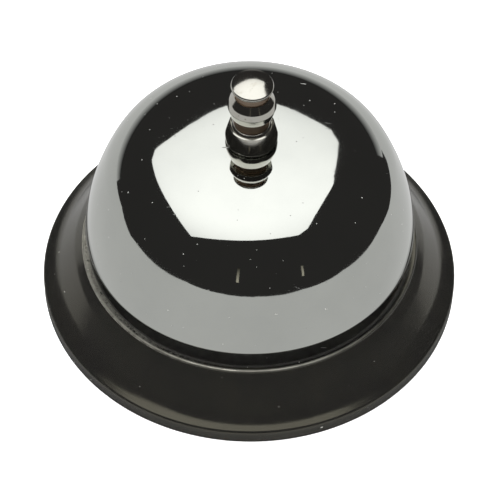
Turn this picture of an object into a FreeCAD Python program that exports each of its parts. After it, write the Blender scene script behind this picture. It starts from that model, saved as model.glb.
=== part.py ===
import FreeCAD, Part
import math
import os

# Counter bell, pressed by a knob on top. Millimetres, +Z up, origin on the
# table under the bell's axis. The striker swings in the XZ plane, on the +X side.

# Base: one pressed dish with a rolled-in hem
base_radius = 42.5
sheet = 0.8
hem_bottom = 0.2
hem_inner_radius = 39.0
hem_fillet = 0.5
skirt_top = 3.42
skirt_fillet = 0.7
flange_width = 2.66
flange_slope = 24.0
flank_width = 4.09
flank_slope = 54.0
foot_fillet = 6.0
brow_fillet = 6.0
ring_middle_radius = 33.2
ring_half_width = 1.0
ring_top = 12.3
ring_outer_fillet = 0.45
ring_inner_fillet = 0.8
crease_height = 11.8
stage_height = 8.6
stage_fillet = 1.2

# Base closing plate and non-slip ring
plate_thickness = 0.8
grip_inner_radius = 30.0
grip_gap = 0.5
grip_edge_fillet = 0.3
slip_clearance = 0.1
plate_corner_gap = 0.35

# Bell: three tangent arcs, turned about the axis
bell_radius = 33.3
rim_height = 17.1
bell_rise = 24.9
bell_wall = 1.2
crown_radius = 70.0
shoulder_radius = 14.3
side_radius = 48.0
rim_flare = 6.0
seat_radius = 5.2

# Hollow post, its nut on the bell and its nut under the base
bore_radius = 3.3
bore_lead = 0.08
post_thread_radius = 4.0
post_body_radius = 5.5
shoulder_fillet = 0.3
post_tail_radius = 5.0
post_tail_length = 7.1
collar_across_flats = 12.0
collar_height = 2.4
seat_washer_thickness = 0.8
thread_clearance = 0.05
thread_lead = 0.45
tail_lead = 0.4
post_head_clearance = 0.35
hexagon_ease_share = 0.12
bell_nut_height = 4.45
bell_nut_radius = 5.1
bell_nut_foot_radius = 4.7
bell_nut_foot_height = 0.4
bell_nut_wall_height = 1.25
bell_nut_lead = 0.1
bell_nut_top_width = 0.21
bell_nut_top_drop = 0.18
bell_nut_side_inset = 0.34
bell_nut_side_share = 0.51
post_nut_across_flats = 16.0
post_nut_height = 3.9
post_washer_radius = 9.0
post_washer_thickness = 0.8

# Knob and plunger
press_travel = 3.0
press_gap = 0.1
stem_clearance = 0.05
bead_height = 4.6
bead_radius = 4.7
bead_lip_radius = 4.28
cap_radius = 4.1
cap_rim_height = 0.9
cap_neck_height = 1.9
cap_crown_height = 0.7
cap_foot_inset = 0.2
cap_edge_inset = 0.15
bead_lip_fillet = 0.08
bead_widest_share = 0.39
bead_widest_fillet = 0.3
bead_brow_share = 0.7
bead_brow_inset = 0.34
bead_brow_fillet = 1.2
bead_step = 0.2
knob_stem_length = 5.9
spigot_radius = 1.5
spigot_length = 5.0
spigot_fillet = 0.3
spigot_clearance = 0.02
spigot_room = 0.5
plunger_length = 25.0
plunger_end_lead = 0.2
waist_radius = 1.6
waist_ease = 0.1

# Striker: a bell crank whose tongue sits in the plunger's waist
pivot_x = 12.0
pivot_height = 33.0
lever_thickness = 1.6
tongue_half_height = 1.35
tongue_tip_gap = 0.2
tongue_clearance = 0.15
tongue_side_clearance = 0.3
tongue_fillet = 0.5
hub_radius = 3.2
arm_half_width = 1.9
strike_height = 21.8
strike_gap = 0.4
hammer_radius = 4.0
hammer_length = 8.0
hammer_crown = 0.9
hammer_back_fillet = 0.5
hammer_slot_clearance = 0.02
hammer_slot_room = 0.2
hammer_rivet_radius = 1.0
hammer_rivet_inset = 0.25
pin_radius = 1.25
pin_clearance = 0.05
bush_radius = 2.2
bush_half_length = 3.15
pivot_washer_gap = 0.07
pivot_washer_thickness = 0.3
pivot_washer_radius = 2.6
pin_head_step = 0.85
pin_head_length = 0.9
pin_tail_length = 0.8
clip_gap = 0.12
clip_thickness = 0.45
clip_groove_depth = 0.35
clip_width = 1.0
clip_clearance = 0.02
clip_mouth_share = 0.8

# Striker frame: a folded U bracket under the post's collar
frame_sheet = 1.2
cheek_gap_half = 3.6
cheek_top_radius = 3.6
cheek_half_width = 4.5
frame_plate_half_width = 7.5
frame_plate_end = 16.8
frame_plate_fillet = 2.0
frame_fold_radius = 1.5
cheek_straight_height = 4.0
cheek_overlap = 0.5
rivet_radius = 1.5
rivet_head_radius = 2.7
rivet_head_height = 1.1
rivet_offset = 12.8
rivet_crown_share = 0.9

# Return spring and its plug
spring_wire_radius = 0.3
spring_turns = 8
spring_clearance = 0.2
spring_end_gap = 0.01
plug_clearance = 0.02
plug_fillet = 0.3
plug_slot_depth = 1.0
plug_length = 4.6
plug_recess = 0.3
plug_slot_width = 1.0

# Worked-out heights
apex = rim_height + bell_rise
stage_under = stage_height - sheet
frame_top = stage_height + frame_sheet
collar_top = frame_top + collar_height
bell_under = apex - bell_wall
post_shoulder = bell_under - seat_washer_thickness
post_top = apex + bell_nut_height + post_head_clearance
post_bottom = frame_top - post_tail_length
bead_bottom = post_top + press_travel + press_gap
bead_top = bead_bottom + bead_height
cap_bottom = bead_top + cap_neck_height
cap_edge = cap_bottom + cap_rim_height
overall_height = cap_edge + cap_crown_height
stem_radius = bore_radius - stem_clearance
knob_stem_bottom = bead_bottom - knob_stem_length
plunger_bottom = knob_stem_bottom - plunger_length
plug_top = post_bottom + plug_recess + plug_length
frame_outer = cheek_gap_half + frame_sheet
clip_start = frame_outer + clip_gap
clip_groove_radius = pin_radius - clip_groove_depth

# Worked-out striker geometry
tongue_tip_x = waist_radius + tongue_tip_gap
tongue_arm = pivot_x - (tongue_tip_x + stem_radius) / 2
half_swing = math.asin(press_travel / 2 / tongue_arm)
swing = 2 * half_swing
waist_middle = pivot_height + press_travel / 2
waist_half_height = tongue_half_height / math.cos(half_swing) + waist_ease + tongue_clearance

X_AXIS = FreeCAD.Vector(1, 0, 0)
Y_AXIS = FreeCAD.Vector(0, 1, 0)
Z_AXIS = FreeCAD.Vector(0, 0, 1)
ORIGIN = FreeCAD.Vector(0, 0, 0)


def at(r, z):
    return FreeCAD.Vector(r, 0, z)


def crown_arc(radius, edge_z, height):
    """Arc of a sphere on the axis, from its edge up to the axis."""
    ball = (radius ** 2 + height ** 2) / (2 * height)
    middle = radius / 2
    middle_z = edge_z + height - ball + math.sqrt(ball ** 2 - middle ** 2)
    return Part.Arc(at(radius, edge_z), at(middle, middle_z), at(0, edge_z + height)).toShape()


def direction(start, end):
    span = math.hypot(end[0] - start[0], end[1] - start[1])
    return (end[0] - start[0]) / span, (end[1] - start[1]) / span


def rounded_edges(corners):
    """Lines and tangent arcs through corners (r, z, radius), from the first corner to the last."""
    edges = []
    here = corners[0][:2]
    for before, corner, after in zip(corners, corners[1:], corners[2:]):
        way_in = direction(before, corner)
        way_out = direction(corner, after)
        turn = math.acos(max(-1.0, min(1.0, way_in[0] * way_out[0] + way_in[1] * way_out[1])))
        if corner[2] <= 0 or turn < 1e-6:
            edges.append(Part.makeLine(at(*here), at(*corner[:2])))
            here = corner[:2]
            continue
        trim = corner[2] * math.tan(turn / 2)
        start = (corner[0] - way_in[0] * trim, corner[1] - way_in[1] * trim)
        end = (corner[0] + way_out[0] * trim, corner[1] + way_out[1] * trim)
        bisector = (way_out[0] - way_in[0], way_out[1] - way_in[1])
        size = math.hypot(*bisector)
        depth = corner[2] * (1 / math.cos(turn / 2) - 1)
        middle = (corner[0] + bisector[0] / size * depth, corner[1] + bisector[1] / size * depth)
        if math.dist(here, start) > 1e-6:
            edges.append(Part.makeLine(at(*here), at(*start)))
        edges.append(Part.Arc(at(*start), at(*middle), at(*end)).toShape())
        here = end
    edges.append(Part.makeLine(at(*here), at(*corners[-1][:2])))
    return edges


def parallel(corners, gap):
    """The same corners, moved gap to the left of the way they run, with radii to match."""
    moved = []
    last = len(corners) - 1
    for index, corner in enumerate(corners):
        way_in = direction(corners[index - 1], corner) if index else direction(corner, corners[1])
        way_out = direction(corner, corners[index + 1]) if index < last else way_in
        turn = way_in[0] * way_out[1] - way_in[1] * way_out[0]
        share = gap / (1 + way_in[0] * way_out[0] + way_in[1] * way_out[1])
        r = corner[0] - (way_in[1] + way_out[1]) * share
        z = corner[1] + (way_in[0] + way_out[0]) * share
        radius = corner[2] - gap if turn > 0 else corner[2] + gap
        moved.append((r, z, max(radius, 0.0) if corner[2] > 0 else 0.0))
    return moved


def turned(edges):
    wire = Part.Wire(Part.__sortEdges__(edges))
    return Part.Face(wire).revolve(ORIGIN, Z_AXIS, 360)


def turned_outline(corners):
    """A turned piece from a closed outline of corners (r, z, radius). The first corner stays sharp."""
    edges = rounded_edges(corners + [corners[0]])
    return turned(edges)


def sheet_path(corners, gap):
    """Closed edges of a sheet whose outside follows corners, gap to the left of it inside."""
    outside = rounded_edges(corners)
    moved = parallel(corners, gap)
    inside = rounded_edges(moved)
    ends = [Part.makeLine(at(*corners[0][:2]), at(*moved[0][:2])),
            Part.makeLine(at(*corners[-1][:2]), at(*moved[-1][:2]))]
    return outside + inside + ends


def disc(radius, bottom, top, x=0.0, y=0.0):
    return Part.makeCylinder(radius, top - bottom, FreeCAD.Vector(x, y, bottom), Z_AXIS)


def washer(radius, hole, bottom, top):
    return disc(radius, bottom, top).cut(disc(hole, bottom - 1, top + 1))


def cross_rod(radius, start_y, end_y, x, z):
    return Part.makeCylinder(radius, end_y - start_y, FreeCAD.Vector(x, start_y, z), Y_AXIS)


def hexagon(across_flats, bottom, top):
    corner_radius = across_flats / math.sqrt(3)
    angles = [math.radians(60 * step + 30) for step in range(7)]
    points = [FreeCAD.Vector(corner_radius * math.cos(angle), corner_radius * math.sin(angle), bottom)
              for angle in angles]
    prism = Part.Face(Part.makePolygon(points)).extrude(FreeCAD.Vector(0, 0, top - bottom))
    ease = hexagon_ease_share * across_flats / 2
    blank = turned_outline([(0, bottom, 0), (corner_radius - ease, bottom, 0),
                            (corner_radius, bottom + ease / 2, 0), (corner_radius, top - ease / 2, 0),
                            (corner_radius - ease, top, 0), (0, top, 0)])
    return prism.common(blank)


def swung(shape, angle):
    """Turns a striker piece about the pivot. A positive angle lifts the hammer, in radians."""
    pivot = FreeCAD.Vector(pivot_x, 0, pivot_height)
    turned_shape = shape.copy()
    turned_shape.rotate(pivot, Y_AXIS, -math.degrees(angle))
    return turned_shape


def plate_slab(edges, half_width):
    """A slab from closed edges in the XZ plane, centred on y = 0."""
    wire = Part.Wire(Part.__sortEdges__(edges))
    slab = Part.Face(wire).extrude(FreeCAD.Vector(0, 2 * half_width, 0))
    slab.translate(FreeCAD.Vector(0, -half_width, 0))
    return slab


def base_dish():
    flange_in = base_radius - flange_width
    flange_top = skirt_top + flange_width * math.tan(math.radians(flange_slope))
    flank_in = flange_in - flank_width
    flank_top = flange_top + flank_width * math.tan(math.radians(flank_slope))
    ring_out = ring_middle_radius + ring_half_width
    ring_in = ring_middle_radius - ring_half_width
    corners = [
        (hem_inner_radius, hem_bottom, 0),
        (base_radius, hem_bottom, hem_fillet),
        (base_radius, skirt_top, skirt_fillet),
        (flange_in, flange_top, foot_fillet),
        (flank_in, flank_top, brow_fillet),
        (ring_out, crease_height, 0),
        (ring_out, ring_top, ring_outer_fillet),
        (ring_in, ring_top, ring_inner_fillet),
        (ring_in, stage_height, stage_fillet),
        (post_tail_radius + slip_clearance, stage_height, 0),
    ]
    dish = turned(sheet_path(corners, sheet))
    for x in (-rivet_offset, pivot_x):
        dish = dish.cut(disc(rivet_radius, stage_under - 1, stage_height + 1, x))
    return dish


def bottom_plate():
    top = hem_bottom + sheet
    return disc(base_radius - sheet - plate_corner_gap, top, top + plate_thickness)


def grip_ring():
    top = hem_bottom + sheet
    outer = hem_inner_radius - grip_gap
    return turned_outline([(grip_inner_radius, top, 0), (grip_inner_radius, 0, grip_edge_fillet),
                           (outer, 0, grip_edge_fillet), (outer, top, 0)])


def bell_centres():
    """Centres of the crown, shoulder and side arcs. The shoulder arc touches the other two."""
    flare = math.radians(rim_flare)
    crown = (seat_radius, apex - crown_radius)
    side = (bell_radius - side_radius * math.cos(flare), rim_height - side_radius * math.sin(flare))
    to_crown = crown_radius - shoulder_radius
    to_side = side_radius - shoulder_radius
    gap = math.dist(crown, side)
    along = (to_crown ** 2 - to_side ** 2 + gap ** 2) / (2 * gap)
    across = math.sqrt(to_crown ** 2 - along ** 2)
    way = direction(crown, side)
    shoulder = (crown[0] + way[0] * along - way[1] * across, crown[1] + way[1] * along + way[0] * across)
    if shoulder[0] < 0:
        shoulder = (crown[0] + way[0] * along + way[1] * across, crown[1] + way[1] * along - way[0] * across)
    return crown, shoulder, side


def on_arc(centre, radius, angle):
    return centre[0] + radius * math.cos(angle), centre[1] + radius * math.sin(angle)


def bell_arcs(depth):
    """Arcs of the bell's surface, depth inside its outside: edges, then its seat and rim points."""
    crown, shoulder, side = bell_centres()
    high = math.atan2(shoulder[1] - crown[1], shoulder[0] - crown[0])
    low = math.atan2(shoulder[1] - side[1], shoulder[0] - side[0])
    flare = math.radians(rim_flare)
    spans = [(crown, crown_radius, math.pi / 2, high), (shoulder, shoulder_radius, high, low),
             (side, side_radius, low, flare)]
    edges = []
    for centre, radius, start, end in spans:
        points = [on_arc(centre, radius - depth, angle) for angle in (start, (start + end) / 2, end)]
        edges.append(Part.Arc(*[at(*point) for point in points]).toShape())
    return edges, at(seat_radius, apex - depth), at(*on_arc(side, side_radius - depth, flare))


def bell_inner_radius(z):
    side = bell_centres()[2]
    return side[0] + math.sqrt((side_radius - bell_wall) ** 2 - (z - side[1]) ** 2)


def bell():
    hole = post_thread_radius + thread_clearance
    outside, seat_out, rim_out = bell_arcs(0.0)
    inside, seat_in, rim_in = bell_arcs(bell_wall)
    flare = math.radians(rim_flare)
    middle = (rim_out + rim_in) * 0.5
    rim_end = middle + FreeCAD.Vector(math.sin(flare), 0, -math.cos(flare)) * (bell_wall / 2)
    rim = Part.Arc(rim_out, rim_end, rim_in).toShape()
    seat = [Part.makeLine(seat_out, at(hole, apex)), Part.makeLine(at(hole, apex), at(hole, bell_under)),
            Part.makeLine(at(hole, bell_under), seat_in)]
    return turned(outside + inside + [rim] + seat)


def seat_washer():
    return washer(seat_radius, post_thread_radius + thread_clearance, post_shoulder, bell_under)


def bell_nut():
    """Round collar nut: a narrow foot, a straight rim, a barrelled side and a sloping top face."""
    hole = post_thread_radius + thread_clearance
    top = apex + bell_nut_height
    wall_bottom = apex + bell_nut_foot_height
    wall_top = wall_bottom + bell_nut_wall_height
    lead_edge = hole + bell_nut_lead
    side_top = (lead_edge + bell_nut_top_width, top - bell_nut_top_drop)
    side_middle = wall_top + bell_nut_side_share * (side_top[1] - wall_top)
    side = Part.Arc(at(bell_nut_radius, wall_top), at(bell_nut_radius - bell_nut_side_inset, side_middle),
                    at(*side_top)).toShape()
    corners = [side_top + (0,), (lead_edge, top, 0), (hole, top - bell_nut_lead, 0), (hole, apex, 0),
               (bell_nut_foot_radius, apex, 0), (bell_nut_foot_radius, wall_bottom, 0.1),
               (bell_nut_radius, wall_bottom, 0.15), (bell_nut_radius, wall_top, 0)]
    return turned(rounded_edges(corners) + [side])


def post():
    land = post_thread_radius - thread_lead
    outline = [
        (bore_radius, post_bottom, 0), (post_tail_radius - tail_lead, post_bottom, 0),
        (post_tail_radius, post_bottom + tail_lead, 0), (post_tail_radius, frame_top, 0),
        (post_body_radius, frame_top, 0), (post_body_radius, post_shoulder, shoulder_fillet),
        (post_thread_radius, post_shoulder, 0), (post_thread_radius, post_top - thread_lead, 0),
        (land, post_top, 0), (bore_radius + bore_lead, post_top, 0), (bore_radius, post_top - bore_lead, 0),
    ]
    tube = turned_outline(outline)
    collar_hole = disc(post_body_radius - 0.5, 0, collar_top + 1)
    tube = tube.fuse(hexagon(collar_across_flats, frame_top, collar_top).cut(collar_hole))
    reach = pivot_x - bore_radius
    half = tongue_half_height / math.cos(half_swing) + reach * math.sin(half_swing) + tongue_clearance
    slot_half_width = lever_thickness / 2 + tongue_side_clearance
    window = Part.makeBox(post_body_radius + 1, 2 * slot_half_width, 2 * half,
                          FreeCAD.Vector(0, -slot_half_width, pivot_height - half))
    return tube.cut(window).removeSplitter()


def post_washer():
    return washer(post_washer_radius, post_tail_radius + slip_clearance,
                  stage_under - post_washer_thickness, stage_under)


def post_nut():
    top = stage_under - post_washer_thickness
    return hexagon(post_nut_across_flats, top - post_nut_height, top).cut(
        disc(post_tail_radius + thread_clearance, 0, top + 1))


def knob():
    """Turned knob: crowned cap, neck, bead and the stem that slides in the post."""
    widest = bead_bottom + bead_widest_share * bead_height
    brow = bead_bottom + bead_brow_share * bead_height
    neck = stem_radius
    foot = cap_radius - cap_foot_inset
    edge = cap_radius - cap_edge_inset
    corners = [
        (0, overall_height, 0), (0, knob_stem_bottom, 0), (neck, knob_stem_bottom, 0), (neck, bead_bottom, 0),
        (bead_lip_radius, bead_bottom, bead_lip_fillet), (bead_radius, widest, bead_widest_fillet),
        (bead_radius - bead_brow_inset, brow, bead_brow_fillet), (neck + bead_step, bead_top, 0),
        (neck, bead_top, 0), (neck, cap_bottom, 0), (foot, cap_bottom, 0),
    ]
    edges = rounded_edges(corners)
    edges.append(Part.Arc(at(foot, cap_bottom), at(cap_radius, (cap_bottom + cap_edge) / 2),
                          at(edge, cap_edge)).toShape())
    edges.append(crown_arc(edge, cap_edge, cap_crown_height))
    hole = disc(spigot_radius + spigot_clearance, knob_stem_bottom - 1,
                knob_stem_bottom + spigot_length + spigot_room)
    return turned(edges).cut(hole)


def plunger():
    waist_low = waist_middle - waist_half_height
    waist_high = waist_middle + waist_half_height
    outline = [
        (0, plunger_bottom, 0), (stem_radius - plunger_end_lead, plunger_bottom, 0),
        (stem_radius, plunger_bottom + plunger_end_lead, 0),
        (stem_radius, waist_low, 0), (waist_radius, waist_low, 0), (waist_radius, waist_high, 0),
        (stem_radius, waist_high, 0), (stem_radius, knob_stem_bottom, 0),
        (spigot_radius, knob_stem_bottom, 0),
        (spigot_radius, knob_stem_bottom + spigot_length, spigot_fillet),
        (0, knob_stem_bottom + spigot_length, 0),
    ]
    return turned_outline(outline)


def spring():
    """Helical wire between the plug and the plunger."""
    radius = bore_radius - spring_clearance - spring_wire_radius
    bottom = plug_top + spring_wire_radius + spring_end_gap
    height = plunger_bottom - spring_wire_radius - spring_end_gap - bottom
    helix = Part.makeHelix(height / spring_turns, height, radius)
    section = Part.Wire(Part.makeCircle(spring_wire_radius, FreeCAD.Vector(radius, 0, 0), Y_AXIS))
    coil = Part.Wire(helix).makePipeShell([section], True, True)
    coil.translate(FreeCAD.Vector(0, 0, bottom))
    return coil


def plug():
    bottom = plug_top - plug_length
    radius = bore_radius - plug_clearance
    body = turned_outline([(0, bottom, 0), (radius, bottom, plug_fillet), (radius, plug_top, plug_fillet),
                           (0, plug_top, 0)])
    slot = Part.makeBox(3 * bore_radius, plug_slot_width, 2 * plug_slot_depth,
                        FreeCAD.Vector(-1.5 * bore_radius, -plug_slot_width / 2, bottom - plug_slot_depth))
    return body.cut(slot)


def striker_frame():
    """Flat foot under the post's collar, folded up into two cheeks that hold the pivot pin."""
    cheek_top = pivot_height + cheek_top_radius
    cheek_shoulder = frame_top + cheek_straight_height
    below = stage_height - 1
    left = pivot_x - cheek_half_width
    right = pivot_x + cheek_half_width
    fold = [(-frame_outer, cheek_top, 0), (-frame_outer, stage_height, frame_fold_radius),
            (frame_outer, stage_height, frame_fold_radius), (frame_outer, cheek_top, 0)]
    channel = Part.Face(Part.Wire(Part.__sortEdges__(sheet_path(fold, frame_sheet))))
    channel = channel.extrude(FreeCAD.Vector(0, -(right - left), 0))
    channel.rotate(ORIGIN, Z_AXIS, 90)
    channel.translate(FreeCAD.Vector(left, 0, 0))
    shape_edges = rounded_edges([(left, below, 0), (right, below, 0), (right, cheek_shoulder, 0),
                                 (pivot_x + cheek_top_radius, pivot_height, 0)])
    shape_edges.append(Part.Arc(at(pivot_x + cheek_top_radius, pivot_height), at(pivot_x, cheek_top),
                                at(pivot_x - cheek_top_radius, pivot_height)).toShape())
    shape_edges += rounded_edges([(pivot_x - cheek_top_radius, pivot_height, 0), (left, cheek_shoulder, 0),
                                  (left, below, 0)])
    channel = channel.common(plate_slab(shape_edges, frame_outer + 1))
    foot = Part.makeBox(frame_plate_end + left + cheek_overlap, 2 * frame_plate_half_width, frame_sheet,
                        FreeCAD.Vector(-frame_plate_end, -frame_plate_half_width, stage_height))
    upright = [edge for edge in foot.Edges if abs(edge.BoundBox.ZLength - frame_sheet) < 1e-6]
    foot = foot.makeFillet(frame_plate_fillet, upright)
    frame = channel.fuse(foot).removeSplitter()
    frame = frame.cut(disc(post_tail_radius + slip_clearance, below, frame_top + 1))
    for x in (-rivet_offset, pivot_x):
        frame = frame.cut(disc(rivet_radius, below, frame_top + 1, x))
    return frame.cut(cross_rod(pin_radius, -frame_outer - 1, frame_outer + 1, pivot_x, pivot_height))


def rivet(x):
    body = disc(rivet_radius, stage_under, frame_top, x)
    for face, way in ((frame_top, 1), (stage_under, -1)):
        head = turned_outline([(0, face, 0), (rivet_head_radius, face, 0),
                               (rivet_head_radius, face + way * rivet_head_height,
                                rivet_head_height * rivet_crown_share),
                               (0, face + way * rivet_head_height, 0)])
        head.translate(FreeCAD.Vector(x, 0, 0))
        body = body.fuse(head)
    return body.removeSplitter()


def hammer_centre():
    """Middle of the hammer, with the knob pressed right down."""
    return bell_inner_radius(strike_height) - strike_gap - hammer_length / 2, strike_height


def striker_lever():
    tip = tongue_tip_x
    low = pivot_height - tongue_half_height
    high = pivot_height + tongue_half_height
    tongue = plate_slab(rounded_edges([
        (pivot_x, low, 0), (tip, low, tongue_fillet), (tip, high, tongue_fillet), (pivot_x, high, 0),
        (pivot_x, low, 0)]), lever_thickness / 2)
    tongue = swung(tongue, -half_swing)
    x, z = hammer_centre()
    way = direction((pivot_x, pivot_height), (x, z))
    side = (-way[1] * arm_half_width, way[0] * arm_half_width)
    arm = plate_slab(rounded_edges([
        (pivot_x + side[0], pivot_height + side[1], 0), (x + side[0], z + side[1], 0),
        (x - side[0], z - side[1], 0), (pivot_x - side[0], pivot_height - side[1], 0),
        (pivot_x + side[0], pivot_height + side[1], 0)]), lever_thickness / 2)
    end = cross_rod(arm_half_width, -lever_thickness / 2, lever_thickness / 2, x, z)
    arm = swung(arm.fuse(end).cut(cross_rod(hammer_rivet_radius, -5, 5, x, z)), -swing)
    hub = cross_rod(hub_radius, -lever_thickness / 2, lever_thickness / 2, pivot_x, pivot_height)
    lever = hub.fuse([tongue, arm]).cut(cross_rod(bush_radius, -5, 5, pivot_x, pivot_height))
    return lever.removeSplitter()


def hammer_head():
    """Turned weight with a crowned face, slotted for the lever and cross-riveted to it."""
    x, z = hammer_centre()
    half = hammer_length / 2
    shoulder = half - hammer_crown
    ease = hammer_back_fillet
    quarter = ease * (1 - math.sqrt(0.5))
    edges = [
        Part.makeLine(at(0, -half), at(hammer_radius - ease, -half)),
        Part.Arc(at(hammer_radius - ease, -half), at(hammer_radius - quarter, -half + quarter),
                 at(hammer_radius, -half + ease)).toShape(),
        Part.makeLine(at(hammer_radius, -half + ease), at(hammer_radius, shoulder)),
        crown_arc(hammer_radius, shoulder, hammer_crown),
        Part.makeLine(at(0, half), at(0, -half)),
    ]
    head = turned(edges)
    head.rotate(ORIGIN, Y_AXIS, 90)
    head.translate(FreeCAD.Vector(x, 0, z))
    slot_half = lever_thickness / 2 + hammer_slot_clearance
    slot_end = x + arm_half_width + hammer_slot_room
    slot = Part.makeBox(slot_end - (x - half - 1), 2 * slot_half, 2 * hammer_radius + 2,
                        FreeCAD.Vector(x - half - 1, -slot_half, z - hammer_radius - 1))
    head = head.cut(slot).cut(cross_rod(hammer_rivet_radius, -hammer_radius, hammer_radius, x, z))
    return swung(head, -swing)


def hammer_rivet():
    x, z = hammer_centre()
    half = hammer_radius - hammer_rivet_inset
    return swung(cross_rod(hammer_rivet_radius, -half, half, x, z), -swing)


def pivot_bush():
    tube = cross_rod(bush_radius, -bush_half_length, bush_half_length, pivot_x, pivot_height)
    return tube.cut(cross_rod(pin_radius + pin_clearance, -5, 5, pivot_x, pivot_height))


def pivot_washers():
    washers = []
    start = bush_half_length + pivot_washer_gap
    for low in (start, -start - pivot_washer_thickness):
        ring = cross_rod(pivot_washer_radius, low, low + pivot_washer_thickness, pivot_x, pivot_height)
        washers.append(ring.cut(cross_rod(pin_radius, -9, 9, pivot_x, pivot_height)))
    return Part.makeCompound(washers)


def pivot_pin():
    head = cross_rod(pin_radius + pin_head_step, -frame_outer - pin_head_length, -frame_outer,
                     pivot_x, pivot_height)
    groove_end = clip_start + clip_thickness
    shank = cross_rod(pin_radius, -frame_outer, groove_end + pin_tail_length, pivot_x, pivot_height)
    groove = cross_rod(pin_radius + 1, clip_start, groove_end, pivot_x, pivot_height).cut(
        cross_rod(clip_groove_radius, clip_start, groove_end, pivot_x, pivot_height))
    return head.fuse(shank).cut(groove).removeSplitter()


def pin_clip():
    """Open ring that snaps into the pin's groove from above."""
    start = clip_start + clip_clearance
    end = clip_start + clip_thickness - clip_clearance
    ring = cross_rod(pin_radius + clip_width, start, end, pivot_x, pivot_height)
    mouth_half = clip_groove_radius * clip_mouth_share
    mouth = Part.makeBox(2 * mouth_half, 2, 2 * pin_radius + 2,
                         FreeCAD.Vector(pivot_x - mouth_half, start - 0.5, pivot_height))
    return ring.cut(cross_rod(clip_groove_radius, start - 1, end + 1, pivot_x, pivot_height)).cut(mouth)


def save(name, shape):
    solids = shape.Solids
    if not solids or not shape.isValid():
        raise RuntimeError(name + " is not a valid solid")
    solid = solids[0] if len(solids) == 1 else Part.makeCompound(solids)
    solid.exportStep(os.path.join("parts", name + ".step"))
    print("%-16s solids %d  volume %9.1f mm3" % (name, len(solids), shape.Volume))


os.makedirs("parts", exist_ok=True)
pieces = {
    "base_dish": base_dish(),
    "bottom_plate": bottom_plate(),
    "grip_ring": grip_ring(),
    "bell": bell(),
    "seat_washer": seat_washer(),
    "bell_nut": bell_nut(),
    "post": post(),
    "post_washer": post_washer(),
    "post_nut": post_nut(),
    "spring_plug": plug(),
    "return_spring": spring(),
    "striker_frame": striker_frame(),
    "frame_rivets": Part.makeCompound([rivet(-rivet_offset), rivet(pivot_x)]),
    "pivot_pin": pivot_pin(),
    "pivot_washers": pivot_washers(),
    "pin_clip": pin_clip(),
    "knob": knob(),
    "plunger": plunger(),
    "striker_lever": striker_lever(),
    "pivot_bush": pivot_bush(),
    "hammer_head": hammer_head(),
    "hammer_rivet": hammer_rivet(),
}
for piece_name, piece in pieces.items():
    save(piece_name, piece)
print("overall height %.2f, knob travel %.2f" % (overall_height, press_travel))
ratio = swing / press_travel * 1000
print("striker swing %.3f degrees, ratio %.4f rad per metre" % (math.degrees(swing), ratio))
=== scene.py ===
import math

import bmesh
import bpy
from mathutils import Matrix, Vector


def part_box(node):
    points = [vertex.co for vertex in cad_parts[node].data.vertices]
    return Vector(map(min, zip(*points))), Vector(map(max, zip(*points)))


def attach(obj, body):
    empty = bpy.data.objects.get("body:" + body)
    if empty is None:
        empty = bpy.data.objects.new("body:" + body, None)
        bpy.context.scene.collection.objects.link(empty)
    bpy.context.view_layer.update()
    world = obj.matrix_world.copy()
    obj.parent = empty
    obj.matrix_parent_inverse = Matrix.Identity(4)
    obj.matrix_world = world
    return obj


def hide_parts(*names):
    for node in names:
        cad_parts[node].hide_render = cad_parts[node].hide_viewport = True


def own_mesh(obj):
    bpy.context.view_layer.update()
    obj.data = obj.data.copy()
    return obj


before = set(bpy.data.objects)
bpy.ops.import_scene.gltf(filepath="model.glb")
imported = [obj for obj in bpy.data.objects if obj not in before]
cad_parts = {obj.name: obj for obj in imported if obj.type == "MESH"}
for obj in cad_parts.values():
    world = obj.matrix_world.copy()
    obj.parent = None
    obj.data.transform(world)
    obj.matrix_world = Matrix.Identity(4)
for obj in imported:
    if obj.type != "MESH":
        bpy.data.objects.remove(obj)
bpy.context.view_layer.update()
mm = 0.001
print("frame loaded,", len(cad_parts), "CAD nodes")


# Outlines are points (r, z) in millimetres, turned about the bell's axis

def arcLine(centre, radius, start, end, step=2.0):
    count = max(2, math.ceil(abs(end - start) / step))
    angles = [math.radians(start + (end - start) * i / count) for i in range(count + 1)]
    return [(centre[0] + radius * math.cos(a), centre[1] + radius * math.sin(a)) for a in angles]


def arcThrough(first, middle, last, count=14):
    # the circle through three points, walked from the first to the last
    (ax, ay), (bx, by), (cx, cy) = first, middle, last
    d = 2 * (ax * (by - cy) + bx * (cy - ay) + cx * (ay - by))
    a2, b2, c2 = ax * ax + ay * ay, bx * bx + by * by, cx * cx + cy * cy
    ux = (a2 * (by - cy) + b2 * (cy - ay) + c2 * (ay - by)) / d
    uy = (a2 * (cx - bx) + b2 * (ax - cx) + c2 * (bx - ax)) / d
    radius = math.hypot(ax - ux, ay - uy)
    start, end = (math.atan2(y - uy, x - ux) for x, y in (first, last))
    span = (end - start + math.pi) % (2 * math.pi) - math.pi
    return [(ux + radius * math.cos(start + span * i / count),
             uy + radius * math.sin(start + span * i / count)) for i in range(count + 1)]


def roundedLine(corners, step=5.0):
    # straight runs with a fillet at each corner (r, z, fillet)
    points = [tuple(corners[0][:2])]
    for before, corner, after in zip(corners, corners[1:], corners[2:]):
        here = Vector(corner[:2])
        wayIn = (here - Vector(before[:2])).normalized()
        wayOut = (Vector(after[:2]) - here).normalized()
        turn = wayIn.angle(wayOut)
        if corner[2] <= 0 or turn < 0.001:
            points.append(tuple(here))
            continue
        side = 1 if wayIn.x * wayOut.y - wayIn.y * wayOut.x > 0 else -1
        centre = here + (wayOut - wayIn).normalized() * (corner[2] / math.cos(turn / 2))
        start = here - wayIn * corner[2] * math.tan(turn / 2) - centre
        first = math.degrees(math.atan2(start.y, start.x))
        points += arcLine(centre, corner[2], first, first + side * math.degrees(turn), step)
    points.append(tuple(corners[-1][:2]))
    return points


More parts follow.
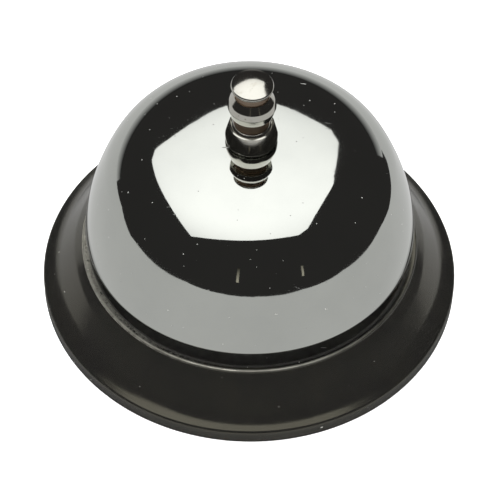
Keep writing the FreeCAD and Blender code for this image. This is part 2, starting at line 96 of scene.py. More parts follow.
def insideCorners(corners, gap):
    # the same corners moved in by the sheet's thickness, to the left of the way they run
    moved = []
    for i, corner in enumerate(corners):
        here = Vector(corner[:2])
        wayIn = (here - Vector(corners[i - 1][:2])).normalized() if i else None
        wayOut = (Vector(corners[i + 1][:2]) - here).normalized() if i + 1 < len(corners) else wayIn
        wayIn = wayIn or wayOut
        leftTurn = wayIn.x * wayOut.y - wayIn.y * wayOut.x > 0
        share = gap / (1 + wayIn.dot(wayOut))
        fillet = corner[2] - gap if leftTurn else corner[2] + gap
        moved.append((here.x - (wayIn.y + wayOut.y) * share, here.y + (wayIn.x + wayOut.x) * share,
                      max(fillet, 0) if corner[2] > 0 else 0))
    return moved


def finishMesh(bm, name, sharp=32):
    bmesh.ops.recalc_face_normals(bm, faces=bm.faces)
    mesh = bpy.data.meshes.new(name)
    bm.to_mesh(mesh)
    bm.free()
    mesh.shade_smooth()
    mesh.set_sharp_from_angle(angle=math.radians(sharp))
    piece = bpy.data.objects.new(name, mesh)
    bpy.context.scene.collection.objects.link(piece)
    return piece


def lathe(name, outline, segments, closed=True):
    bm = bmesh.new()
    angles = [2 * math.pi * i / segments for i in range(segments)]
    turns = [(math.cos(a), math.sin(a)) for a in angles]
    rings = []
    for r, z in outline:
        spots = turns if r > 1e-4 else [(0, 0)]   # a point on the axis is one vertex
        rings.append([bm.verts.new((r * mm * c, r * mm * s, z * mm)) for c, s in spots])
    for low, high in zip(rings, rings[1:] + (rings[:1] if closed else [])):
        for i in range(segments):
            j = (i + 1) % segments
            corners = [low[i % len(low)], low[j % len(low)], high[j % len(high)], high[i % len(high)]]
            corners = list(dict.fromkeys(corners))
            if len(corners) > 2:
                bm.faces.new(corners)
    return finishMesh(bm, name)


def fit(piece, body, slot, material, *nodes):
    piece.data.materials.append(material)
    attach(piece, body)
    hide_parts(*nodes)
    return piece


# Node helpers

def newMaterial(name, **values):
    material = bpy.data.materials.new(name)
    material.use_nodes = True
    tree = material.node_tree
    shader = tree.nodes["Principled BSDF"]
    for key, value in values.items():
        socket = shader.inputs[key.replace("_", " ")]
        socket.default_value = (*value, 1) if isinstance(value, tuple) else value
    return material, tree, shader


def addNode(tree, kind, inputs=None, **settings):
    node = tree.nodes.new(kind)
    for key, value in settings.items():
        setattr(node, key, value)
    for key, value in (inputs or {}).items():
        if isinstance(value, bpy.types.NodeSocket):
            tree.links.new(value, node.inputs[key])
        else:
            node.inputs[key].default_value = value
    return node


def maths(tree, operation, a, b=0.5, clamp=False):
    return addNode(tree, "ShaderNodeMath", {0: a, 1: b}, operation=operation, use_clamp=clamp).outputs[0]


def ramp(tree, value, low, high, fromValue=0.0, toValue=1.0):
    return addNode(tree, "ShaderNodeMapRange", {"Value": value, "From Min": low, "From Max": high,
                                                "To Min": fromValue, "To Max": toValue}).outputs[0]


def mixColour(tree, factor, a, b):
    node = addNode(tree, "ShaderNodeMix", {0: factor}, data_type="RGBA")
    for socket, value in ((node.inputs[6], a), (node.inputs[7], b)):
        if isinstance(value, bpy.types.NodeSocket):
            tree.links.new(value, socket)
        else:
            socket.default_value = (*value, 1)
    return node.outputs[2]


def mmPlace(tree, scale=(1, 1, 1)):
    # place on the object in millimetres, stretched by scale
    place = addNode(tree, "ShaderNodeTexCoord").outputs["Object"]
    perMetre = [s / mm for s in scale]
    return addNode(tree, "ShaderNodeVectorMath", {0: place, 1: perMetre}, operation="MULTIPLY").outputs[0]


def noise(tree, place, scale, detail=3.0, roughness=0.55, **inputs):
    return addNode(tree, "ShaderNodeTexNoise",
                   {"Vector": place, "Scale": scale, "Detail": detail, "Roughness": roughness, **inputs})


def turnedPlace(tree):
    # radius, height and the unit direction round the axis
    place = mmPlace(tree)
    flat = addNode(tree, "ShaderNodeVectorMath", {0: place, 1: (1, 1, 0)}, operation="MULTIPLY").outputs[0]
    radius = addNode(tree, "ShaderNodeVectorMath", {0: flat}, operation="LENGTH").outputs["Value"]
    unit = addNode(tree, "ShaderNodeVectorMath", {0: flat}, operation="NORMALIZE").outputs[0]
    parts = addNode(tree, "ShaderNodeSeparateXYZ", {0: unit}).outputs
    height = addNode(tree, "ShaderNodeSeparateXYZ", {0: place}).outputs["Z"]
    return radius, height, parts["X"], parts["Y"]


def turningMarks(tree, fineness, drift):
    # fine rings cut by a tool, which drift a little round the piece
    radius, height, unitX, unitY = turnedPlace(tree)
    place = addNode(tree, "ShaderNodeCombineXYZ", {"X": maths(tree, "MULTIPLY", radius, fineness),
                                                   "Y": maths(tree, "MULTIPLY", height, fineness),
                                                   "Z": maths(tree, "MULTIPLY", unitX, drift)}).outputs[0]
    turn = maths(tree, "MULTIPLY", unitY, drift)
    return addNode(tree, "ShaderNodeTexNoise", {"Vector": place, "W": turn, "Scale": 1.0, "Detail": 3.0},
                   noise_dimensions="4D").outputs[0]


def specks(tree, place, cells, share, size):
    # one speck in some of the cells, size in cells
    cell = addNode(tree, "ShaderNodeTexVoronoi", {"Vector": place, "Scale": cells})
    chance = addNode(tree, "ShaderNodeSeparateColor", {0: cell.outputs["Color"]}).outputs
    chosen = maths(tree, "LESS_THAN", chance["Red"], share)
    reach = maths(tree, "MULTIPLY", chance["Green"], size)
    near = ramp(tree, maths(tree, "SUBTRACT", cell.outputs["Distance"], reach), 0.0, 0.03, 1.0, 0.0)
    return maths(tree, "MULTIPLY", chosen, near)


def dustMask(tree, share):
    grains = specks(tree, mmPlace(tree), 0.8, share, 0.09)
    lint = specks(tree, mmPlace(tree, (0.25, 1.6, 1.1)), 0.8, share * 0.35, 0.14)
    return maths(tree, "MAXIMUM", grains, lint)


def addBump(tree, shader, height, distance, strength=1.0, over=None):
    inputs = {"Height": height, "Distance": distance * mm, "Strength": strength}
    if over:
        inputs["Normal"] = over
    bump = addNode(tree, "ShaderNodeBump", inputs)
    tree.links.new(bump.outputs[0], shader.inputs["Normal"])
    return bump.outputs[0]


chromeLook = {
    "colour": (0.472, 0.484, 0.454), "hazeColour": (0.445, 0.457, 0.43),
    "polish": 0.03, "haze": 0.06, "dust": 0.2, "dustColour": (0.36, 0.36, 0.34),
}


def makeChrome():
    look = chromeLook
    material, tree, shader = newMaterial("bellChrome")
    link = tree.links.new
    cloud = noise(tree, mmPlace(tree), 0.07, 4.0).outputs[0]
    hairlines = noise(tree, mmPlace(tree, (0.05, 1.0, 0.5)), 3.5, 2.0).outputs[0]
    scratch = ramp(tree, hairlines, 0.72, 0.76)
    dust = dustMask(tree, look["dust"])
    smear = ramp(tree, cloud, 0.4, 0.7)
    colour = mixColour(tree, smear, look["colour"], look["hazeColour"])
    link(mixColour(tree, dust, colour, look["dustColour"]), shader.inputs["Base Color"])
    link(maths(tree, "SUBTRACT", 1.0, dust), shader.inputs["Metallic"])
    polish = ramp(tree, cloud, 0.35, 0.75, look["polish"], look["haze"])
    polish = maths(tree, "ADD", polish, maths(tree, "MULTIPLY", scratch, 0.08))
    link(maths(tree, "ADD", polish, maths(tree, "MULTIPLY", dust, 0.8), True), shader.inputs["Roughness"])
    waves = noise(tree, mmPlace(tree), 0.35, 2.0).outputs[0]
    normal = addBump(tree, shader, waves, 0.004)
    normal = addBump(tree, shader, scratch, 0.002, 0.6, normal)
    addBump(tree, shader, dust, 0.05, 0.8, normal)
    return material


paintLook = {
    "colour": (0.0098, 0.0096, 0.0096), "thinColour": (0.0135, 0.0132, 0.0115),
    "gloss": 0.14, "satin": 0.23, "bareColour": (0.46, 0.45, 0.395), "dust": 0.1,
    # the well colour is painted light: a paler tone that lifts the shade in the well under the bell
    "dustColour": (0.3, 0.3, 0.28), "wellPaintedLight": (0.075, 0.074, 0.07), "wellEdge": (32.7, 33.3),
    "crestRadius": 33.85, "crestHalf": 0.3, "wearHalf": 1.0, "crestTop": 11.9,
    "leftReach": (-0.95, -0.1), "chips": (0.5, 0.62), "chipStrength": 0.5,
}


def makePaint():
    look = paintLook
    material, tree, shader = newMaterial("blackPaint", IOR=1.6, Specular_Tint=(1.0, 0.95, 0.72))
    link = tree.links.new
    cloud = noise(tree, mmPlace(tree), 0.12, 4.0).outputs[0]
    grain = noise(tree, mmPlace(tree), 2.6, 3.0).outputs[0]
    dust = dustMask(tree, look["dust"])
    # the crest of the raised ring is polished to a fine line, which widens into chipped patches on the left
    radius, height, unitX = turnedPlace(tree)[:3]
    fromCrest = maths(tree, "ABSOLUTE", maths(tree, "SUBTRACT", radius, look["crestRadius"]))
    leftWear = maths(tree, "SUBTRACT", 1.0, ramp(tree, unitX, *look["leftReach"]))
    onCrest = maths(tree, "GREATER_THAN", height, look["crestTop"])
    fine = maths(tree, "MULTIPLY", onCrest, ramp(tree, fromCrest, 0.1, look["crestHalf"], 1.0, 0.0))
    wide = maths(tree, "MULTIPLY", onCrest, maths(tree, "LESS_THAN", fromCrest, look["wearHalf"]))
    patches = noise(tree, mmPlace(tree), 1.6, 6.0, 0.85).outputs[0]
    patches = maths(tree, "ADD", patches, maths(tree, "MULTIPLY", leftWear, 0.1))
    chips = ramp(tree, patches, *look["chips"])
    chipped = maths(tree, "MULTIPLY", maths(tree, "MULTIPLY", wide, chips), leftWear)
    streak = noise(tree, mmPlace(tree), 0.25, 4.0, 0.6).outputs[0]
    line = maths(tree, "MULTIPLY", fine, ramp(tree, streak, 0.3, 0.6, 0.3, 0.9))
    line = maths(tree, "MULTIPLY", line, ramp(tree, unitX, 0.1, 0.75, 1.0, 0.1))
    line = maths(tree, "MULTIPLY", line, maths(tree, "SUBTRACT", 1.0, maths(tree, "MULTIPLY", leftWear, 0.6)))
    bare = maths(tree, "MAXIMUM", line, maths(tree, "MULTIPLY", chipped, look["chipStrength"]))
    base = mixColour(tree, cloud, look["colour"], look["thinColour"])
    # painted light: the well inside the ring, in the bell's shade, is painted a paler grey in patches,
    # lifting its shade
    inWell = ramp(tree, radius, *look["wellEdge"], 1.0, 0.0)
    paintedLightPatches = ramp(tree, noise(tree, mmPlace(tree), 0.6, 4.0).outputs[0], 0.2, 0.8, 0.6, 1.0)
    base = mixColour(tree, maths(tree, "MULTIPLY", inWell, paintedLightPatches), base, look["wellPaintedLight"])
    base = mixColour(tree, dust, base, look["dustColour"])
    link(mixColour(tree, bare, base, look["bareColour"]), shader.inputs["Base Color"])
    link(bare, shader.inputs["Metallic"])
    satin = ramp(tree, cloud, 0.3, 0.7, look["gloss"], look["satin"])
    link(maths(tree, "ADD", satin, maths(tree, "MULTIPLY", dust, 0.5), True), shader.inputs["Roughness"])
    normal = addBump(tree, shader, grain, 0.006)
    addBump(tree, shader, maths(tree, "SUBTRACT", dust, bare), 0.03, 0.7, normal)
    return material


nickelLook = {
    "colour": (0.47, 0.46, 0.415), "tarnish": (0.26, 0.215, 0.15), "stem": (0.52, 0.4, 0.3),
    "polish": 0.07, "worn": 0.17, "fineness": 7.0, "drift": 0.5, "cut": 0.004,
    "stemEdge": (3.3, 3.5), "stemTop": 56.5,
}


def makeNickel():
    look = nickelLook
    material, tree, shader = newMaterial("brightNickel", Metallic=1.0)
    link = tree.links.new
    rings = turningMarks(tree, look["fineness"], look["drift"])
    cloud = noise(tree, mmPlace(tree), 0.5, 5.0, 0.65).outputs[0]
    pits = specks(tree, mmPlace(tree), 1.6, 0.1, 0.2)
    clouded = ramp(tree, cloud, 0.55, 0.8, 0.0, 0.45)
    stain = maths(tree, "MAXIMUM", clouded, maths(tree, "MULTIPLY", pits, 0.5))
    # the sliding stem is bare and browned below the cap
    radius, height = turnedPlace(tree)[:2]
    nearAxis = ramp(tree, radius, *look["stemEdge"], 1.0, 0.0)
    onStem = maths(tree, "MULTIPLY", nearAxis, maths(tree, "LESS_THAN", height, look["stemTop"]))
    plated = mixColour(tree, stain, look["colour"], look["tarnish"])
    link(mixColour(tree, onStem, plated, look["stem"]), shader.inputs["Base Color"])
    rough = ramp(tree, cloud, 0.3, 0.75, look["polish"], look["worn"])
    link(maths(tree, "ADD", rough, maths(tree, "MULTIPLY", onStem, 0.3)), shader.inputs["Roughness"])
    normal = addBump(tree, shader, rings, look["cut"])
    addBump(tree, shader, pits, -0.02, 0.6, normal)
    return material


# Everyday metals of the mechanism: base colour, second colour, roughness range
metalLooks = {
    "zincSteel": {"colour": (0.55, 0.56, 0.57), "second": (0.42, 0.43, 0.43), "smooth": 0.26, "rough": 0.42,
                  "grain": (1, 1, 1), "scale": 0.9, "cut": 0.01},
    "springSteel": {"colour": (0.4, 0.4, 0.41), "second": (0.24, 0.235, 0.23), "smooth": 0.2, "rough": 0.36,
                    "grain": (1, 1, 1), "scale": 3.0, "cut": 0.008},
    "turnedBrass": {"colour": (0.74, 0.53, 0.25), "second": (0.5, 0.33, 0.14), "smooth": 0.16, "rough": 0.34,
                    "grain": (6, 0.4, 6), "scale": 0.8, "cut": 0.008},
}


def makeMetal(name):
    look = metalLooks[name]
    material, tree, shader = newMaterial(name, Metallic=1.0)
    link = tree.links.new
    spangle = addNode(tree, "ShaderNodeTexVoronoi", {"Vector": mmPlace(tree), "Scale": look["scale"]})
    shade = addNode(tree, "ShaderNodeSeparateColor", {0: spangle.outputs["Color"]}).outputs["Red"]
    brushed = noise(tree, mmPlace(tree, look["grain"]), 4.0, 4.0).outputs[0]
    mixed = maths(tree, "MULTIPLY", maths(tree, "ADD", shade, brushed), 0.5)
    colour = mixColour(tree, ramp(tree, mixed, 0.3, 0.75), look["colour"], look["second"])
    link(colour, shader.inputs["Base Color"])
    link(ramp(tree, mixed, 0.2, 0.8, look["smooth"], look["rough"]), shader.inputs["Roughness"])
    addBump(tree, shader, brushed, look["cut"])
    return material


# Dull materials: two tones, roughness range, grain size per millimetre and its depth
dullLooks = {
    "blackPlate": {"colour": (0.014, 0.014, 0.014), "second": (0.028, 0.027, 0.025),
                   "smooth": 0.5, "rough": 0.7, "scale": 3.5, "depth": 0.02},
    "gripRubber": {"colour": (0.012, 0.012, 0.012), "second": (0.024, 0.023, 0.022),
                   "smooth": 0.72, "rough": 0.92, "scale": 5.0, "depth": 0.03},
    "redFibre": {"colour": (0.3, 0.06, 0.035), "second": (0.2, 0.035, 0.022),
                 "smooth": 0.55, "rough": 0.8, "scale": 4.0, "depth": 0.02},
}


def makeDull(name):
    look = dullLooks[name]
    material, tree, shader = newMaterial(name)
    link = tree.links.new
    grain = noise(tree, mmPlace(tree), look["scale"], 4.0, 0.6).outputs[0]
    cloud = noise(tree, mmPlace(tree), look["scale"] * 0.08, 3.0).outputs[0]
    tone = maths(tree, "MULTIPLY", maths(tree, "ADD", grain, cloud), 0.5)
    colour = mixColour(tree, ramp(tree, tone, 0.35, 0.65), look["colour"], look["second"])
    link(colour, shader.inputs["Base Color"])
    link(ramp(tree, cloud, 0.3, 0.7, look["smooth"], look["rough"]), shader.inputs["Roughness"])
    addBump(tree, shader, grain, look["depth"])
    return material


chrome = makeChrome()
paint = makePaint()
nickel = makeNickel()
zincSteel, springSteel, brass = (makeMetal(name) for name in metalLooks)
blackPlate, rubber, fibre = (makeDull(name) for name in dullLooks)
print("materials made")


bellShape = {
    "rimHeight": 17.1, "rimRadius": 33.3, "wall": 1.2, "seatRadius": 5.2, "holeRadius": 4.05,
    "crownRadius": 70.0, "shoulderRadius": 14.3, "sideRadius": 48.0, "flare": 6.0,
}


def bellCentres(apex):
    # the shoulder arc touches the crown arc and the side arc
    shape = bellShape
    flare = math.radians(shape["flare"])
    crown = Vector((shape["seatRadius"], apex - shape["crownRadius"]))
    side = Vector((shape["rimRadius"] - shape["sideRadius"] * math.cos(flare),
                   shape["rimHeight"] - shape["sideRadius"] * math.sin(flare)))
    toCrown = shape["crownRadius"] - shape["shoulderRadius"]
    toSide = shape["sideRadius"] - shape["shoulderRadius"]
    gap = (side - crown).length
    along = (toCrown ** 2 - toSide ** 2 + gap ** 2) / (2 * gap)
    across = math.sqrt(toCrown ** 2 - along ** 2)
    way = (side - crown) / gap
    choices = [crown + way * along + Vector((-way.y, way.x)) * s * across for s in (1, -1)]
    return crown, max(choices, key=lambda centre: centre.x), side


def bellSurface(apex, depth, step):
    shape = bellShape
    crown, shoulder, side = bellCentres(apex)
    toShoulder, fromSide = shoulder - crown, shoulder - side
    high = math.degrees(math.atan2(toShoulder.y, toShoulder.x))
    low = math.degrees(math.atan2(fromSide.y, fromSide.x))
    points = arcLine(crown, shape["crownRadius"] - depth, 90, high, step / 3)
    points += arcLine(shoulder, shape["shoulderRadius"] - depth, high, low, step)[1:]
    points += arcLine(side, shape["sideRadius"] - depth, low, shape["flare"], step / 2)[1:]
    return points


def makeBell():
    shape = bellShape
    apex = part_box("bell")[1].z / mm
    outside = bellSurface(apex, 0.0, 1.5)
    inside = bellSurface(apex, shape["wall"], 4.0)
    rimMiddle = (Vector(outside[-1]) + Vector(inside[-1])) / 2
    rim = arcLine(rimMiddle, shape["wall"] / 2, shape["flare"], shape["flare"] - 180, 12)[1:-1]
    hole = [(shape["holeRadius"], apex - shape["wall"]), (shape["holeRadius"], apex)]
    return lathe("bellShell", outside + rim + inside[::-1] + hole, 384)


fit(makeBell(), "base", "bell_chrome", chrome, "bell")


# Corners (r, z, fillet) of the pressing's outside, from the rolled hem to the hole in the middle
dishShape = {
    "sheet": 0.8,
    "corners": [(39.0, 0.2, 0), (42.5, 0.2, 0.5), (42.5, 3.42, 0.7), (39.84, 4.6, 6.0), (35.75, 10.23, 6.0),
                (34.2, 11.8, 0), (34.2, 12.3, 0.45), (32.2, 12.3, 0.8), (32.2, 8.6, 1.2), (5.1, 8.6, 0)],
}


def makeDish():
    corners = dishShape["corners"]
    outside = roundedLine(corners, 3.0)
    inside = roundedLine(insideCorners(corners, dishShape["sheet"]), 6.0)
    return lathe("basePressing", outside + inside[::-1], 320)


fit(makeDish(), "base", "black_paint", paint, "base_dish")


plateShape = {
    "radius": 41.35, "edge": 0.2, "beadRadius": 24.0, "beadHalf": 2.2, "crestHalf": 0.8, "beadDepth": 0.35,
    "bend": 0.8,
}


def makePlate():
    # a closing disc with one stiffening bead pressed upwards
    shape = plateShape
    low, high = (corner.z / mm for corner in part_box("bottom_plate"))
    near, far = shape["beadRadius"] - shape["beadHalf"], shape["beadRadius"] + shape["beadHalf"]
    inner, outer = shape["beadRadius"] - shape["crestHalf"], shape["beadRadius"] + shape["crestHalf"]
    rise, bend = shape["beadDepth"], shape["bend"]
    under = [(0, low, 0), (near, low, bend), (inner, low + rise, bend), (outer, low + rise, bend),
             (far, low, bend), (shape["radius"], low, shape["edge"]), (shape["radius"], high, shape["edge"])]
    over = [(far, high, bend), (outer, high + rise, bend), (inner, high + rise, bend), (near, high, bend),
            (0, high, 0)]
    return lathe("closingPlate", roundedLine(under + over), 200, closed=False)


fit(makePlate(), "base", "black_plate", blackPlate, "bottom_plate")


gripShape = {
    "inner": 30.0, "outer": 38.5, "edge": 0.3,
    "grooves": 4, "grooveWidth": 0.7, "grooveDepth": 0.3, "grooveLip": 0.12, "grooveSlope": 0.1,
}


def makeGrip():
    # a flat rubber ring with grooves moulded in its underside
    shape = gripShape
    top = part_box("grip_ring")[1].z / mm
    pitch = (shape["outer"] - shape["inner"]) / (shape["grooves"] + 1)
    depth, lip, slope = shape["grooveDepth"], shape["grooveLip"], shape["grooveSlope"]
    under = []
    for number in range(1, shape["grooves"] + 1):
        middle, half = shape["inner"] + pitch * number, shape["grooveWidth"] / 2
        under += [(middle - half, 0, lip), (middle - half + slope, depth, slope),
                  (middle + half - slope, depth, slope), (middle + half, 0, lip)]
    corners = [(shape["inner"], top, 0), (shape["inner"], 0, shape["edge"]), *under,
               (shape["outer"], 0, shape["edge"]), (shape["outer"], top, 0)]
    return lathe("gripRing", roundedLine(corners, 15), 200)


fit(makeGrip(), "base", "grip_rubber", rubber, "grip_ring")


# Heights above the bell
nutShape = {
    "hole": 4.05, "lead": 0.1, "foot": 4.7, "footHeight": 0.4, "rim": 5.1, "wallTop": 1.65,
    "sideVia": (4.78, 2.98), "sideTop": (4.42, 4.34), "footEdge": 0.08, "footFillet": 0.1, "rimEdge": 0.15,
}


def makeNut():
    # narrow foot, straight rim, barrelled side and a sloping top face
    shape = nutShape
    low, high = (corner.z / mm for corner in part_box("bell_nut"))
    rim, wallLow, wallTop = shape["rim"], low + shape["footHeight"], low + shape["wallTop"]
    sideTop = (shape["sideTop"][0], low + shape["sideTop"][1])
    hole, foot, lead = shape["hole"], shape["foot"], shape["lead"]
    corners = [sideTop + (0,), (hole + lead, high, 0), (hole, high - lead, 0), (hole, low, 0),
               (foot, low, shape["footEdge"]), (foot, wallLow, shape["footFillet"]),
               (rim, wallLow, shape["rimEdge"]), (rim, wallTop, 0)]
    side = arcThrough((rim, wallTop), (shape["sideVia"][0], low + shape["sideVia"][1]), sideTop, 24)
    return lathe("bellNut", roundedLine(corners, 10) + side[1:-1], 200)


fit(makeNut(), "base", "nickel", nickel, "bell_nut")


# stemBottom and beadBottom are heights above the table, and the other heights are above the bead's lower edge
knobShape = {
    "stem": 3.25, "stemBottom": 44.0, "stemChamfer": 0.2, "beadBottom": 49.9, "beadStep": 0.02,
    "neckTop": 6.5, "capUnder": 3.9,
    "bead": [(4.28, 0.0, 0.08), (4.7, 1.8, 0.3), (4.36, 3.2, 1.2), (3.45, 4.6, 0)],
    "rimVia": (4.1, 6.95), "rimTop": (3.95, 7.4),
}


def makeKnob():
    shape = knobShape
    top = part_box("knob")[1].z / mm
    base = shape["beadBottom"]
    lift = lambda point: (point[0], base + point[1])
    stem, bottom, chamfer = shape["stem"], shape["stemBottom"], shape["stemChamfer"]
    outline = [(0, bottom), (stem - chamfer, bottom), (stem, bottom + chamfer), (stem, base)]
    bead = [(r, base + z, fillet) for r, z, fillet in shape["bead"]]
    outline += roundedLine([(stem, base, 0)] + bead, 4)[1:]
    outline += [(stem, bead[-1][1] + shape["beadStep"]), (stem, base + shape["neckTop"])]
    capUnder = (shape["capUnder"], base + shape["neckTop"])
    outline += arcThrough(capUnder, lift(shape["rimVia"]), lift(shape["rimTop"]), 10)
    # the cap's crown is part of a sphere on the axis
    edge, edgeZ = shape["rimTop"][0], base + shape["rimTop"][1]
    height = top - edgeZ
    ball = (edge ** 2 + height ** 2) / (2 * height)
    start = math.degrees(math.asin((edgeZ - top + ball) / ball))
    outline += arcLine((0, top - ball), ball, start, 90, 1.0)[1:-1] + [(0, top)]
    return lathe("pressKnob", outline, 200, closed=False)


fit(makeKnob(), "button", "nickel", nickel, "knob")


springShape = {
    "wire": 0.3, "coil": 2.8, "turns": 8, "endTurns": 0.9, "endPitch": 2.1, "sides": 10, "stepsPerTurn": 40,
}


def makeSpring():
    # the end turns lie flat against each other, and the rest are evenly spaced
    shape = springShape
    low, high = (corner.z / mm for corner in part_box("return_spring"))
    bottom, top = low + shape["wire"], high - shape["wire"]
    flat = shape["wire"] * shape["endPitch"] * shape["endTurns"]
    steps = shape["turns"] * shape["stepsPerTurn"]
    line = []
    for i in range(steps + 1):
        turn = shape["turns"] * i / steps
        middle = shape["turns"] - 2 * shape["endTurns"]
        inEnd = min(turn, shape["endTurns"]) / shape["endTurns"]
        inMiddle = min(max(turn - shape["endTurns"], 0), middle) / middle
        inTop = max(turn - shape["endTurns"] - middle, 0) / shape["endTurns"]
        z = bottom + flat * inEnd + (top - bottom - 2 * flat) * inMiddle + flat * inTop
        a = 2 * math.pi * turn
        line.append(Vector((shape["coil"] * math.cos(a), shape["coil"] * math.sin(a), z)) * mm)
    bm = bmesh.new()
    rings = []
    for i, point in enumerate(line):
        along = (line[min(i + 1, steps)] - line[max(i - 1, 0)]).normalized()
        out = Vector((point.x, point.y, 0)).normalized()
        up = along.cross(out)
        angles = [2 * math.pi * k / shape["sides"] for k in range(shape["sides"])]
        spokes = [out * math.cos(a) + up * math.sin(a) for a in angles]
        rings.append([bm.verts.new(point + spoke * shape["wire"] * mm) for spoke in spokes])
    for ring, following in zip(rings, rings[1:]):
        for k in range(shape["sides"]):
            n = (k + 1) % shape["sides"]
            bm.faces.new((ring[k], ring[n], following[n], following[k]))
    bm.faces.new(rings[0])
    bm.faces.new(rings[-1][::-1])
    return finishMesh(bm, "returnSpring", 60)


spring = fit(makeSpring(), "base", "spring_steel", springSteel, "return_spring")
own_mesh(spring)
print("turned pieces and spring made")


# CAD nodes that stay: material and the size of the eased edges in millimetres
keptNodes = {
    "post": (nickel, 0.08), "seat_washer": (fibre, 0.08), "post_washer": (zincSteel, 0.08),
    "post_nut": (zincSteel, 0.15), "spring_plug": (zincSteel, 0.08), "striker_frame": (zincSteel, 0.15),
    "frame_rivets": (zincSteel, 0.08), "pivot_pin": (springSteel, 0.05), "pivot_washers": (brass, 0.04),
    "pin_clip": (springSteel, 0.03), "plunger": (zincSteel, 0.06), "striker_lever": (zincSteel, 0.12),
    "pivot_bush": (brass, 0.05), "hammer_head": (brass, 0.1), "hammer_rivet": (zincSteel, 0.05),
}


easing = {"weldGap": 0.002, "segments": 2, "sharpAngle": 40}


def dressNode(name, material, ease):
    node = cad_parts[name]
    node.data.materials.clear()
    node.data.materials.append(material)
    weld = node.modifiers.new("weld", "WELD")
    weld.merge_threshold = easing["weldGap"] * mm
    bevel = node.modifiers.new("easedEdges", "BEVEL")
    bevel.width = ease * mm
    bevel.segments = easing["segments"]
    bevel.limit_method = "ANGLE"
    bevel.angle_limit = math.radians(easing["sharpAngle"])
    bevel.harden_normals = True


for nodeName, (nodeMaterial, nodeEase) in keptNodes.items():
    dressNode(nodeName, nodeMaterial, nodeEase)
print("mechanism dressed")


# Studio: what the camera sees is a plain white sweep, and what the polished pieces reflect is a lit table,
# a large soft light overhead and a dark room

def stageMesh(name, corners, faces, material, diffuse=False):
    # seen in reflections but not by the camera; diffuse also lights what is dull
    mesh = bpy.data.meshes.new(name)
    mesh.from_pydata(corners, [], faces)
    mesh.materials.append(material)
    thing = bpy.data.objects.new(name, mesh)
    bpy.context.scene.collection.objects.link(thing)
    thing.visible_camera = False
    thing.visible_diffuse = diffuse
    thing.visible_shadow = diffuse
    thing.visible_transmission = False
    return thing


def glow(name, colour, strength, falloff=None):
    # a plain light-giving surface; falloff(tree, place) gives the share of the strength at each place
    material = bpy.data.materials.new(name)
    material.use_nodes = True
    tree = material.node_tree
    tree.nodes.clear()
    light = addNode(tree, "ShaderNodeEmission", {"Color": (*colour, 1), "Strength": strength})
    if falloff:
        place = addNode(tree, "ShaderNodeTexCoord").outputs["Object"]
        share = falloff(tree, place)
        tree.links.new(maths(tree, "MULTIPLY", share, strength), light.inputs["Strength"])
    output = addNode(tree, "ShaderNodeOutputMaterial")
    tree.links.new(light.outputs[0], output.inputs[0])
    return material


# The soft light's outline, in metres, is a rough pentagon with a slight waist on the right
softLight = {
    "height": 0.9, "brightness": 2.1, "colour": (1.0, 1.0, 1.0),
    "hotSpot": (0.0, 0.2), "fade": 0.3, "reach": 0.85,
    "outline": [(-0.61, -0.42), (-0.56, 0.16), (-0.54, 0.69), (-0.34, 0.84), (-0.09, 1.03), (0.08, 1.08),
                (0.34, 0.96), (0.37, 0.85), (0.33, 0.56), (0.36, 0.34), (0.46, -0.17), (0.42, -0.29),
                (0.03, -0.34)],
}


def softFalloff(tree, place):
    hotSpot = (*softLight["hotSpot"], softLight["height"])
    away = addNode(tree, "ShaderNodeVectorMath", {0: place, 1: hotSpot}, operation="DISTANCE")
    far = maths(tree, "DIVIDE", away.outputs["Value"], softLight["reach"])
    dimming = maths(tree, "MULTIPLY", maths(tree, "MULTIPLY", far, far), softLight["fade"])
    return maths(tree, "SUBTRACT", 1.0, dimming)


softCorners = [(x, y, softLight["height"]) for x, y in softLight["outline"]]
softGlow = glow("softGlow", softLight["colour"], softLight["brightness"], softFalloff)
stageMesh("softLight", softCorners, [tuple(range(len(softCorners)))], softGlow, diffuse=True)


# The lit table that the polished pieces show: its outline in metres, and the card that rises behind it
table = {
    "brightness": 0.75, "colour": (1.0, 1.0, 1.0), "drop": -0.0006,
    "backY": 1.5, "cardEnds": (-3.0, 1.7), "cardHeight": 0.42, "cardShare": 0.9,
    "shade": (0.0425, 0.048), "shadeShare": 0.12,
    "outline": [(-0.17, -0.22), (-0.08, -0.285), (0.03, -0.295), (0.135, -0.215), (0.165, -0.1), (0.145, 0.0),
                (0.13, 0.03), (0.145, 0.065), (0.225, 0.18), (0.7, 0.7), (1.7, 1.5), (-3.0, 1.5), (-3.0, 0.6),
                (-0.85, 0.12), (-0.2, -0.03), (-0.19, -0.1)],
}


def cardFalloff(tree, place):
    height = addNode(tree, "ShaderNodeSeparateXYZ", {0: place}).outputs["Z"]
    return ramp(tree, height, 0.0, table["cardHeight"], table["cardShare"], 0.0)


def tableFalloff(tree, place):
    # the base shades the table close to it
    away = addNode(tree, "ShaderNodeVectorMath", {0: place}, operation="LENGTH").outputs["Value"]
    return ramp(tree, away, *table["shade"], table["shadeShare"], 1.0)


tableCorners = [(x, y, table["drop"]) for x, y in table["outline"]]
tableGlow = glow("tableLight", table["colour"], table["brightness"], tableFalloff)
stageMesh("tableGlow", tableCorners, [tuple(range(len(tableCorners)))], tableGlow)
left, right = table["cardEnds"]
cardSpots = [(left, 0.0), (right, 0.0), (right, table["cardHeight"]), (left, table["cardHeight"])]
cardCorners = [(x, table["backY"], z) for x, z in cardSpots]
cardGlow = glow("cardLight", table["colour"], table["brightness"], cardFalloff)
stageMesh("backCard", cardCorners, [(0, 1, 2, 3)], cardGlow)


# Two narrow lamps low in the dark room, each (x, y, bottom, top, half width, lean) in metres
roomLamps = {
    "colour": (1.0, 0.93, 0.76), "brightness": 0.6, "fade": (0.15, 0.75), "topShare": 0.06,
    "places": [(-0.19, -1.49, 0.1, 0.78, 0.022, 0.0), (0.86, -1.23, 0.06, 0.5, 0.022, 0.03)],
}


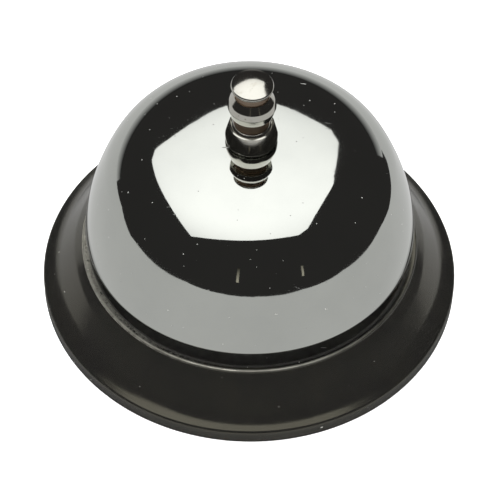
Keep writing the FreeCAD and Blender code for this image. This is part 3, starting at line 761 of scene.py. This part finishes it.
def lampFalloff(tree, place):
    height = addNode(tree, "ShaderNodeSeparateXYZ", {0: place}).outputs["Z"]
    return ramp(tree, height, *roomLamps["fade"], 1.0, roomLamps["topShare"])


lampGlow = glow("lampGlow", roomLamps["colour"], roomLamps["brightness"], lampFalloff)
for number, (x, y, bottom, top, half, lean) in enumerate(roomLamps["places"]):
    corners = [(x - half, y, bottom), (x + half, y, bottom),
               (x + half + lean, y, top), (x - half + lean, y, top)]
    stageMesh(f"roomLamp{number}", corners, [(0, 1, 2, 3)], lampGlow)


# White sweep for the camera: a round floor that curves up into a wall
sweep = {
    "floorRadius": 2.4, "curve": 0.7, "wallTop": 3.0, "glow": 0.86, "drop": -0.0002,
    "paper": (0.86, 0.86, 0.855), "palePaper": (0.9, 0.9, 0.9),
}


def makeSweep():
    material, tree, shader = newMaterial("sweepPaper", Roughness=0.9, Emission_Strength=sweep["glow"])
    shader.inputs["Emission Color"].default_value = (1, 1, 1, 1)
    cloud = noise(tree, mmPlace(tree), 0.02, 3.0).outputs[0]
    paper = mixColour(tree, cloud, sweep["paper"], sweep["palePaper"])
    tree.links.new(paper, shader.inputs["Base Color"])
    bend = arcLine((sweep["floorRadius"], sweep["curve"]), sweep["curve"], -90, 0, 10)
    outline = [(0, 0)] + bend + [(sweep["floorRadius"] + sweep["curve"], sweep["wallTop"])]
    thing = lathe("sweep", [(r / mm, (z + sweep["drop"]) / mm) for r, z in outline], 96, closed=False)
    thing.data.materials.append(material)
    thing.visible_glossy = False


makeSweep()

# A weak lamp overhead, in metres and watts, and the colour of the dark room
room = {"lampSize": 1.6, "lampEnergy": 4, "lampPlace": (0.0, -0.1, 1.5), "colour": (0.037, 0.0355, 0.035)}

fill = bpy.data.lights.new("fillLight", "AREA")
fill.size = room["lampSize"]
fill.energy = room["lampEnergy"]
fillLight = bpy.data.objects.new("fillLight", fill)
fillLight.location = room["lampPlace"]
fillLight.visible_glossy = False
fillLight.visible_camera = False
bpy.context.scene.collection.objects.link(fillLight)

world = bpy.data.worlds.new("darkRoom")
world.use_nodes = True
world.node_tree.nodes["Background"].inputs[0].default_value = (*room["colour"], 1)
bpy.context.scene.world = world

# Camera in metres, its lens in millimetres and its roll in degrees
cameraView = {"place": (0.0, -0.2926, 0.3656), "target": (0.0001, -0.0082, 0.018), "lens": 161.9, "roll": 1.0}


def makeCamera():
    camera = bpy.data.cameras.new("camera")
    camera.lens = cameraView["lens"]
    camera.clip_start = 0.01
    holder = bpy.data.objects.new("camera", camera)
    place = Vector(cameraView["place"])
    aim = (Vector(cameraView["target"]) - place).to_track_quat("-Z", "Y").to_matrix().to_4x4()
    holder.matrix_world = aim
    holder.location = place
    holder.rotation_euler.rotate_axis("Z", math.radians(cameraView["roll"]))
    bpy.context.scene.collection.objects.link(holder)
    bpy.context.scene.camera = holder


makeCamera()
bpy.context.scene.view_settings.view_transform = "Standard"
print("studio and camera set")
